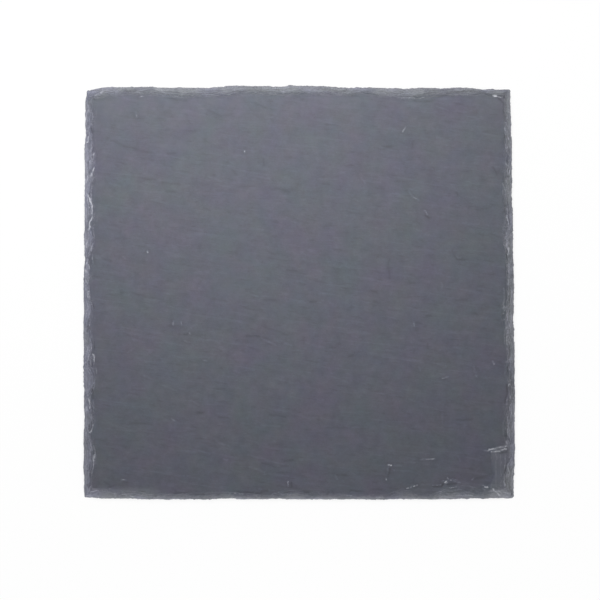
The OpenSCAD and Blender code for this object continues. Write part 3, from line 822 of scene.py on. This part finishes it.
# Pale lines of crushed stone and dark cracks, on the drink face and along the layers of the bevel: each
# runs between two pixels of the photograph and has its strength, which is below zero on a crack
PALE_LINES = (
    # Drink face
    ((488, 449), (495, 448), 0.9), ((496, 447), (506, 445), 0.75), ((500, 449), (507, 448), 0.8),
    ((490, 451), (499, 450), 0.7), ((500, 446), (504, 447), 0.7), ((484, 450), (488, 450), 0.5),
    ((424, 458), (434, 458), 0.6), ((388, 464), (391, 464), 0.85), ((388, 466), (386.5, 472), 0.42),
    ((385, 477), (386, 479), 0.6), ((394, 465), (401, 465), 0.4), ((406, 487.4), (408, 486.8), 0.75),
    ((409.5, 486.4), (411, 486), 0.6), ((413, 485), (414.5, 484.7), 0.7),
    ((416, 484.4), (417, 484.2), 0.6), ((411, 484), (413, 483.5), 0.4),
    ((446.5, 477), (447.5, 478), 0.7), ((449, 479), (451, 479.3), 0.55),
    ((453, 479.5), (455, 480), 0.45), ((444, 482), (446, 480), 0.85), ((445, 482.3), (447, 481), 0.65),
    ((432, 484), (440, 484), 0.6), ((449, 487), (456, 487), 0.6), ((443, 485), (447, 485), 0.4),
    ((440.3, 489), (440.3, 494), 0.35), ((441, 480.5), (443, 480), 0.5),
    ((452, 478), (456, 478.6), 0.45), ((457, 481.5), (459, 481.5), 0.45),
    ((393, 469), (394, 470), 0.45), ((420, 459), (423, 458.5), 0.45), ((482, 488), (484, 488.6), 0.45),
    ((489, 487), (490, 488), 0.4), ((497, 491), (499, 492.5), 0.4), ((481, 484), (484, 485), 0.65),
    ((484, 486), (487, 486), 0.85), ((485, 487), (487.5, 487.3), 0.5), ((492, 489), (495, 492), 0.55),
    ((496, 494), (499, 496), 0.6), ((473, 367), (474, 369), 0.45), ((473, 371), (475, 372), 0.4),
    ((475, 375), (476, 376), 0.45), ((492, 361), (493, 364), 0.55), ((441, 378), (447, 377), 0.5),
    ((402, 133), (405, 128), 0.6), ((424, 211), (427, 215), 0.5), ((245, 152), (245, 153), 0.6),
    ((149, 251), (149, 253), 0.65), ((174, 321), (174, 325), 0.55), ((182, 322), (182, 325), 0.48),
    ((190, 333), (191, 334), 0.65), ((186, 341), (190, 342), 0.45), ((288, 480), (288, 485), 0.75),
    ((122, 479), (127, 479), 0.55),
    # Left bevel
    ((87, 137), (87, 143), 0.7), ((87.6, 176), (85.7, 183), 0.5), ((94.4, 167), (90.7, 177), 0.6),
    ((94.3, 153), (93.4, 160), 0.5), ((89.4, 161), (88.9, 165), 0.35), ((86, 193), (87.4, 200), 0.4),
    ((88.4, 196), (91.1, 203), 0.8), ((91.1, 203), (92.3, 212), 0.8), ((92.3, 213), (89.6, 224), 0.9),
    ((89.6, 224), (88.5, 230), 0.7), ((93.4, 227), (94.5, 232), 0.35), ((87.2, 240), (86.9, 247), 0.5),
    ((92.3, 244), (90.2, 251), 0.5), ((93.4, 255), (93.6, 264), 0.55), ((86.8, 260), (85.7, 265), 0.5),
    ((89, 265), (88.4, 269), 0.5), ((84.9, 269), (86.2, 272), 0.6), ((85.2, 280), (87.5, 283), 0.5),
    ((87.3, 291), (86.7, 298), 0.5), ((92.3, 334), (89.5, 341), 0.35), ((94.2, 355), (94.6, 364), 0.6),
    ((97.2, 368), (97.4, 373), 0.6), ((91.3, 392), (89.2, 399), 0.45), ((89.2, 399), (89, 408), 0.65),
    ((94.1, 400), (94.1, 407), 0.5), ((85.9, 407), (85.9, 411), 0.45), ((92.4, 424), (93, 427), 0.8),
    ((93, 427), (89.8, 431), 0.7), ((89.1, 444), (89.7, 461), 0.3), ((91.3, 444), (92.4, 458), 0.3),
    ((94.2, 446), (95.5, 454), 0.6), ((95.5, 455), (93.6, 461), 0.65), ((94, 470), (92.4, 475), 0.4),
    # Right bevel
    ((507.5, 116), (507.5, 119), 0.35), ((506, 128), (506, 135), 0.4),
    ((505.5, 162), (507.5, 167), 0.4), ((502.6, 184), (502.3, 194), 0.55),
    ((503.9, 186), (505.9, 192), 0.35), ((507.5, 216), (508.6, 223), 0.5),
    ((504, 230), (506.3, 234), 0.45), ((509, 248), (508.6, 252), 0.8), ((510, 254), (507.6, 256), 0.6),
    ((508.6, 280), (508.6, 285), 0.4), ((503.1, 288), (503.1, 314), 0.45),
    ((508.7, 294), (508.9, 306), 0.35), ((503.7, 334), (504.1, 344), 0.55),
    ((506.3, 337), (507.4, 344), 0.35), ((504.5, 366), (503.5, 375), 0.4),
    ((509.5, 384), (508.4, 386), 0.65), ((506.2, 398), (504.6, 405), 0.6),
    ((502.5, 421), (502.9, 434), 0.4), ((504.6, 457), (504.6, 468), 0.5), ((508, 457), (509, 470), 0.4),
    ((504.6, 479), (504.6, 486), 0.3),
    # Front bevel
    ((131, 496), (134.8, 497), 0.4), ((109.5, 487.6), (119.5, 487.4), 0.4),
    ((115, 493), (120, 493.7), 0.4), ((121, 494.8), (128, 495.2), 0.35),
    ((176, 494.6), (184, 494.5), 0.38), ((178, 490.4), (184, 490.4), 0.3),
    ((234, 494.3), (244, 494.5), 0.35), ((254, 496), (257, 496), 0.4),
    ((259, 487.6), (262, 488.1), 0.35), ((271, 494.8), (275, 492.6), 0.4),
    ((275, 492.6), (283, 491), 0.5), ((280, 493.7), (284, 494.8), 0.3),
    ((269, 489.2), (274, 489.8), 0.35), ((288, 495.3), (291, 494.2), 0.4),
    ((345, 495.7), (351, 495.9), 0.38), ((350, 491.5), (359, 492.6), 0.3),
    ((375, 496.8), (384, 497), 0.35), ((440, 496.5), (447, 496.7), 0.3),
    ((463, 495.7), (472, 495.8), 0.35), ((97, 490), (104, 490.6), 0.3),
    ((99, 486.6), (138, 487.4), 0.29), ((99, 485.2), (128, 486), 0.26),
    ((97, 488.2), (150, 488.8), 0.29), ((104, 489.8), (160, 490.2), 0.28),
    ((110, 491.7), (158, 491.9), 0.2), ((421, 483.4), (436, 483.8), 0.28),
    ((424, 486.8), (440, 487), 0.28), ((420, 488.5), (440, 489), 0.2), ((442, 487), (468, 486), 0.24),
    ((470, 486), (479, 485.5), 0.28), ((470, 483), (482, 483.4), 0.25),
    ((488, 484.3), (500, 485), 0.28),
    # Back bevel
    ((95.5, 95), (99, 93), 0.4), ((102, 92.5), (103.5, 91), 0.5), ((141, 97.8), (144, 97.3), 0.5),
    ((419, 98), (424, 97.2), 0.6), ((397, 98), (418, 98.2), 0.35), ((492, 95.5), (500, 97.2), 0.8),
    ((501, 98), (502, 100), 0.35), ((505, 101), (505, 104), 0.3),
    # Dark cracks of the left bevel
    ((94, 97), (95, 100), -0.6), ((89.5, 129), (90.5, 134), -0.45), ((94, 131), (94.5, 133), -0.25),
    ((90, 251), (92, 253), -0.5), ((88.5, 262), (90.5, 268), -0.35), ((93, 305), (95, 308), -0.5),
    ((88, 327), (89.5, 330), -0.65), ((94, 342), (94.5, 348), -0.55), ((92, 364), (93, 367), -0.5),
    ((91.5, 388), (93.5, 392), -0.6), ((94, 391), (94, 399), -0.4), ((87, 415), (88, 418), -0.4),
    ((88.5, 426), (89.5, 430), -0.6), ((95, 440), (95.7, 448), -0.5), ((91, 470), (92, 474), -0.4),
    ((86.5, 484), (87.5, 486), -0.5),
    # Dark cracks of the right bevel
    ((506, 91), (503, 93), -0.5), ((500, 100), (502, 103), -0.4), ((504, 95), (504.5, 98), -0.5),
    ((503, 104), (503.5, 106), -0.3), ((505, 134.5), (505, 138), -0.55), ((503, 178), (504, 184), -0.4),
    ((506, 206), (505, 211), -0.5), ((507.3, 250), (507.5, 258), -0.5), ((506, 264), (506, 269), -0.4),
    ((504.5, 280), (504.5, 292), -0.2), ((506.5, 286), (506.5, 312), -0.2),
    ((509.5, 296), (509.5, 312), -0.35), ((505.3, 335), (505.5, 343), -0.4),
    ((509, 363), (508, 374), -0.4), ((505.5, 385), (506, 392), -0.6), ((506, 392), (503.5, 402), -0.6),
    ((509, 399), (508.5, 418), -0.35), ((507, 420), (506, 436), -0.35), ((499, 452), (506, 451), -0.6),
    ((506, 456), (506, 474), -0.2), ((510.5, 466), (510.5, 480), -0.4),
    ((506.5, 474), (506.5, 488), -0.25), ((509.5, 481), (509.5, 492), -0.3),
    ((503, 462), (503, 476), -0.2),
    # Dark cracks of the front bevel and beside the flake scars
    ((108, 486), (114, 485.5), -0.4), ((130, 492.3), (146, 491.5), -0.5),
    ((176, 492.5), (190, 492.3), -0.4), ((195, 494.5), (204, 494), -0.4),
    ((238, 491), (254, 491.5), -0.5), ((257, 493), (262, 491.5), -0.5),
    ((262, 489.7), (268, 490), -0.4), ((284, 492.8), (289, 492.2), -0.3),
    ((291.5, 481.5), (291.5, 486), -0.5), ((298, 490.5), (308, 491), -0.4),
    ((327, 495), (329, 491), -0.4), ((333, 494.5), (332, 490.5), -0.2),
    ((350, 490), (361, 490.5), -0.4), ((372, 488.5), (382, 488.7), -0.3),
    ((432, 485.6), (440, 485.6), -0.5), ((441, 485), (443, 483), -0.6),
    ((446, 483.2), (456, 482.2), -0.5), ((447, 492), (462, 491.5), -0.4),
    ((389.5, 467), (388, 475), -0.5),
    # Dark cracks of the back bevel
    ((437, 97), (448, 93), -0.3), ((448, 93), (458, 91.2), -0.3), ((458, 91.2), (470, 90.5), -0.2),
    ((470, 90.5), (483, 93.4), -0.3), ((483, 93.4), (491, 96), -0.35), ((498, 99), (500, 101), -0.5),
    ((499.5, 95), (501, 93.5), -0.4), ((503.5, 108), (504, 113), -0.5),
    # Faint pale marks of the drink face
    ((209, 177), (221, 182), 0.3), ((145, 183), (158, 186), 0.25), ((110, 184), (121, 187), 0.25),
    ((137, 113), (138, 118), 0.45), ((408, 192), (412, 197), 0.4), ((412, 197), (418, 201), 0.45),
    ((436, 108), (447, 111), 0.3), ((361, 178), (365, 184), 0.3), ((124, 257), (126, 259), 0.35),
    ((110, 292), (120, 293), 0.3), ((247, 293), (258, 296), 0.3), ((262, 338), (276, 345), 0.35),
    ((284, 343), (292, 345), 0.35), ((129, 352), (135, 348), 0.3), ((204, 360), (207, 361), 0.45),
    ((455, 257), (459, 258), 0.35), ((413, 322), (414, 326), 0.48), ((441, 283), (441, 288), 0.3),
    ((305, 342), (325, 348), 0.25), ((145, 375), (152, 378), 0.35), ((135, 388), (145, 388), 0.3),
    ((160, 383), (177, 390), 0.25), ((195, 402), (199, 404), 0.35), ((217, 413), (227, 413), 0.3),
    ((172, 418), (176, 420), 0.45), ((217, 440), (225, 444), 0.3), ((200, 450), (210, 453), 0.35),
    ((224, 458), (228, 459), 0.45), ((248, 454), (265, 458), 0.3), ((265, 459), (283, 463), 0.35),
    ((250, 466), (265, 471), 0.35), ((265, 473), (288, 475), 0.3), ((262, 424), (280, 426), 0.3),
    ((175, 474), (185, 475), 0.35), ((188, 475), (200, 478), 0.3), ((128, 472), (136, 470), 0.3),
    ((418, 366), (420, 370), 0.35), ((441, 413), (442, 424), 0.3), ((352, 427), (360, 427), 0.35),
    ((408, 461), (414, 462), 0.35), ((457, 455), (460, 460), 0.35), ((335, 474), (337, 478), 0.4),
    ((475, 470), (480, 465), 0.3), ((471, 479), (473, 477), 0.45), ((396, 470), (408, 470), 0.25),
    # Faint dark marks of the drink face
    ((112, 141), (124, 146), -0.2), ((124, 147), (136, 149), -0.35), ((136, 150), (150, 153), -0.25),
    ((170, 99), (187, 102), -0.3), ((208, 111), (222, 117), -0.25), ((222, 117), (232, 115), -0.2),
    ((255, 104), (266, 109), -0.3), ((264, 160), (264, 166), -0.3), ((143, 179), (156, 180), -0.25),
    ((163, 183), (180, 185), -0.3), ((167, 192), (176, 192), -0.3), ((240, 187), (255, 187), -0.25),
    ((276, 189), (290, 193), -0.3), ((168, 154), (176, 154), -0.3), ((190, 132), (197, 132), -0.3),
    ((232, 170), (236, 174), -0.25), ((383, 147), (391, 147), -0.35), ((411, 148), (413, 142), -0.25),
    ((425, 216), (428, 218), -0.5), ((456, 193), (457, 196), -0.45), ((323, 184), (329, 185), -0.3),
    ((418, 102.5), (432, 102), -0.3), ((413, 101), (417, 103), -0.35), ((492, 168), (496, 175), -0.35),
    ((103, 258), (112, 261), -0.35), ((233, 253), (237, 253), -0.3), ((287, 270), (296, 271), -0.35),
    ((136, 294), (164, 300), -0.25), ((265, 300), (275, 300), -0.25), ((185, 334), (188, 334), -0.45),
    ((247, 336), (260, 336), -0.35), ((250, 347), (257, 350), -0.25), ((262, 326), (284, 333), -0.2),
    ((451, 250), (455, 259), -0.25), ((455, 259), (464, 260), -0.35), ((389, 259), (387, 268), -0.3),
    ((388, 268), (389, 278), -0.3), ((371, 291), (376, 292), -0.4), ((373, 302), (378, 303), -0.3),
    ((310, 302), (316, 302), -0.3), ((409, 283), (414, 283), -0.35), ((455, 300), (466, 300), -0.4),
    ((425, 316), (430, 316), -0.3), ((427, 344), (427, 348), -0.35), ((348, 356), (353, 355), -0.35),
    ((492, 274), (494, 274), -0.35), ((198, 412), (204, 412), -0.3), ((220, 416), (228, 417), -0.35),
    ((130, 423), (145, 423), -0.25), ((262, 462), (276, 466), -0.3), ((285, 460), (293, 459), -0.4),
    ((282, 465), (288, 465), -0.3), ((270, 414), (285, 416), -0.3), ((106, 481), (113, 486), -0.3),
    ((488, 401), (500, 402), -0.25), ((456, 419), (471, 419), -0.35), ((328, 427), (345, 427), -0.25),
    ((336, 474), (346, 474), -0.3), ((474, 478), (489, 474), -0.3),
)

# The front right corner, in pixels of the photograph
WORN_CORNER = (514, 498)

# Outlines of the flake scars, in pixels of the photograph
SCARS = (
    ((488, 450), (497, 447), (507, 445), (516, 446), (516, 501), (470, 501), (476, 492), (484, 486),
     (491, 484), (495, 474), (492, 462)),
    ((388, 466), (395, 466), (424, 460), (433, 460), (421, 470), (418, 484), (405, 488), (393, 486),
     (387, 478)),
    ((443, 485), (450, 478), (457, 482), (468, 484), (470, 501), (436, 501)),
)


def scar_shapes():
    """A helper mesh of the scars, on the drink face."""
    mesh = bpy.data.meshes.new("scars")
    points = []
    faces = []
    for outline in SCARS:
        faces.append(range(len(points), len(points) + len(outline)))
        points += [photo_point(*pixel) for pixel in outline]
    mesh.from_pydata(points, [], faces)
    return new_object("scars", mesh)


def pale_lines():
    """A helper mesh of the pale lines, on the drink face."""
    mesh = bpy.data.meshes.new("pale_lines")
    points = [photo_point(*pixel) for line in PALE_LINES for pixel in line[:2]]
    edges = [(i, i + 1) for i in range(0, len(points), 2)]
    mesh.from_pydata(points, edges, [])
    strength = mesh.attributes.new("strength", "FLOAT", "EDGE")
    strength.data.foreach_set("value", [line[2] for line in PALE_LINES])
    return new_object("pale_lines", mesh)


def plain_mesh(piece):
    """Turns a piece's modifiers into a plain mesh."""
    bpy.context.view_layer.update()
    graph = bpy.context.evaluated_depsgraph_get()
    mesh = bpy.data.meshes.new_from_object(piece.evaluated_get(graph), depsgraph=graph)
    piece.modifiers.clear()
    piece.data = mesh


def slate_piece(material):
    """The slate with its broken edge and riven face, from the CAD slab's own shape."""
    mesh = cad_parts[SLATE].data.copy()
    mesh.materials.clear()
    shape = bmesh.new()
    shape.from_mesh(mesh)
    bmesh.ops.remove_doubles(shape, verts=shape.verts, dist=MERGE_DISTANCE)
    shape.to_mesh(mesh)
    shape.free()
    slate = new_object("riven_slate_slab", mesh)

    remesh = slate.modifiers.new("even_mesh", "REMESH")
    remesh.mode = "VOXEL"
    remesh.voxel_size = VOXEL
    helpers = {"Pale Lines": pale_lines(), "Scars": scar_shapes()}
    tree = relief_tree()
    relief = slate.modifiers.new("relief", "NODES")
    relief.node_group = tree
    values = {**RELIEF_SIZES, **helpers, "Worn Corner": photo_point(*WORN_CORNER), "Material": material}
    for item in tree.interface.items_tree:
        if item.in_out == "INPUT" and item.name in values:
            relief[item.identifier] = values[item.name]
    plain_mesh(slate)
    for helper in helpers.values():
        bpy.data.objects.remove(helper)

    # Thins the mesh, but not on the broken edge, in the flake scars and round the bruises
    keep = slate.vertex_groups.new(name="keep")
    for name in ("fresh_break", "flake_scar", "fringe", "stroke"):
        marks = slate.data.attributes[name].data
        keep.add([i for i, mark in enumerate(marks) if abs(mark.value) > MARK_LEAST], 1.0, "REPLACE")
    thin = slate.modifiers.new("thin", "DECIMATE")
    thin.vertex_group = keep.name
    thin.invert_vertex_group = True
    triangles = sum(len(face.vertices) - 2 for face in slate.data.polygons)
    thin.ratio = min(1.0, TRIANGLES / triangles)
    plain_mesh(slate)
    slate.vertex_groups.clear()
    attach(slate, BODY)
    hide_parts(SLATE)
    return slate


# Foam pads

def pad_piece(corner, material):
    """A die-cut foam disc, pinched a little at mid height by the cut."""
    node = "foot_pad_" + corner
    low, high = (Vector(point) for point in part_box(node))
    middle = (low + high) / 2
    radius = (high.x - low.x) / 2
    tall = high.z - low.z
    profile = [(0.0, 0.0), (radius * 0.5, 0.0), (radius - PAD_RIM, 0.0)]
    for k in range(1, PAD_RIM_STEPS + 1):
        angle = math.radians(90 * k / PAD_RIM_STEPS)
        profile.append((radius - PAD_RIM + PAD_RIM * math.sin(angle), PAD_RIM - PAD_RIM * math.cos(angle)))
    for k in range(1, PAD_WAIST_STEPS):
        share = k / PAD_WAIST_STEPS
        pinch = PAD_WAIST * math.sin(math.pi * share)
        profile.append((radius - pinch, PAD_RIM + (tall - PAD_RIM) * share))
    profile += [(radius, tall), (radius - PAD_TOP_EDGE, tall), (radius * 0.5, tall), (0.0, tall)]

    shape = bmesh.new()
    points = [shape.verts.new((r, 0, z)) for r, z in profile]
    edges = [shape.edges.new(pair) for pair in zip(points, points[1:])]
    bmesh.ops.spin(shape, geom=points + edges, cent=(0, 0, 0), axis=(0, 0, 1),
                   angle=2 * math.pi, steps=PAD_SEGMENTS)
    bmesh.ops.remove_doubles(shape, verts=shape.verts, dist=MERGE_DISTANCE)
    bmesh.ops.recalc_face_normals(shape, faces=shape.faces)
    for vert in shape.verts:
        vert.co += Vector((middle.x, middle.y, low.z))
    mesh = bpy.data.meshes.new("foam_" + node)
    shape.to_mesh(mesh)
    shape.free()
    for face in mesh.polygons:
        face.use_smooth = True
    mesh.materials.append(material)
    pad = new_object("foam_" + node, mesh)
    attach(pad, BODY)
    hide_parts(node)
    return pad


# Stage

def background_rays(tree):
    """One for rays that see the background, straight, mirrored or through glass, and zero for others."""
    path = add(tree, "ShaderNodeLightPath").outputs
    direct = add(tree, "ShaderNodeMath", {
        0: path["Is Camera Ray"], 1: path["Is Glossy Ray"]}, operation="MAXIMUM")
    return add(tree, "ShaderNodeMath", {
        0: direct.outputs["Value"], 1: path["Is Transmission Ray"]}, operation="MAXIMUM").outputs["Value"]


def stage_material():
    """A matt white sheet that the camera sees as white, with its shadow kept, mostly below the slate."""
    material, tree = new_material("white_sheet")
    cover = add(tree, "ShaderNodeAmbientOcclusion", {"Distance": SHADOW_REACH}, samples=16)
    white = add(tree, "ShaderNodeMapRange", {
        "Value": cover.outputs["AO"], "From Min": 0.4, "From Max": 0.75, "To Min": 0.3, "To Max": 0.97})
    share = add(tree, "ShaderNodeMath", {
        0: background_rays(tree), 1: white.outputs["Result"]}, operation="MULTIPLY")
    matt = add(tree, "ShaderNodeBsdfDiffuse", {"Color": linear("#f4f4f4")})
    glow = add(tree, "ShaderNodeEmission", {"Color": linear("#ffffff"), "Strength": 1.0})
    mix = add(tree, "ShaderNodeMixShader", {
        0: share.outputs["Value"], 1: matt.outputs["BSDF"], 2: glow.outputs["Emission"]})
    add(tree, "ShaderNodeOutputMaterial", {"Surface": mix.outputs["Shader"]})
    return material


def make_floor():
    mesh = bpy.data.meshes.new("floor")
    corners = [(x * FLOOR_HALF, y * FLOOR_HALF, 0) for x, y in ((-1, -1), (1, -1), (1, 1), (-1, 1))]
    mesh.from_pydata(corners, [], [(0, 1, 2, 3)])
    mesh.materials.append(stage_material())
    new_object("floor", mesh)


def area_lamp(name, watts, place):
    """A flat lamp that faces down and isn't seen itself."""
    lamp = bpy.data.lights.new(name, "AREA")
    lamp.energy = watts
    piece = new_object(name, lamp)
    piece.location = place
    piece.visible_camera = False
    return piece


def make_lights():
    world = bpy.data.worlds.new("studio")
    bpy.context.scene.world = world
    world.use_nodes = True
    tree = world.node_tree
    tree.nodes.clear()
    strength = add(tree, "ShaderNodeMapRange", {
        "Value": background_rays(tree), "To Min": DOME, "To Max": 1.0})
    sky = add(tree, "ShaderNodeBackground", {
        "Color": linear("#ffffff"), "Strength": strength.outputs["Result"]})
    add(tree, "ShaderNodeOutputWorld", {"Surface": sky.outputs["Background"]})

    softbox = area_lamp("softbox", SOFTBOX_WATTS, SOFTBOX_PLACE)
    softbox.data.size = SOFTBOX_SIZE
    softbox.data.spread = SOFTBOX_SPREAD

    card = area_lamp("front_card", CARD_WATTS, CARD_PLACE)
    card.data.shape = "RECTANGLE"
    card.data.size, card.data.size_y = CARD_SIZE
    card.rotation_euler = (CARD_TILT, 0, 0)


def make_camera():
    """Looks straight down, framed as the photograph."""
    lens = bpy.data.cameras.new("camera")
    lens.sensor_width = SENSOR
    middle = photo_point(PHOTO_PX / 2, PHOTO_PX / 2)
    field = PHOTO_PX / PX_PER_M
    lens.lens = SENSOR * (CAMERA_HEIGHT - SLATE_BOTTOM) / field
    lens.clip_start = CAMERA_NEAR
    camera = new_object("camera", lens)
    camera.location = (middle.x, middle.y, CAMERA_HEIGHT)
    bpy.context.scene.camera = camera


make_camera()
make_lights()
make_floor()
slate_piece(slate_material())
foam = foam_material()
adhesive = adhesive_material()
for corner in CORNERS:
    pad_piece(corner, foam)
    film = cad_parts["adhesive_disc_" + corner].data
    film.materials.clear()
    film.materials.append(adhesive)

bpy.context.scene.view_settings.view_transform = "Standard"
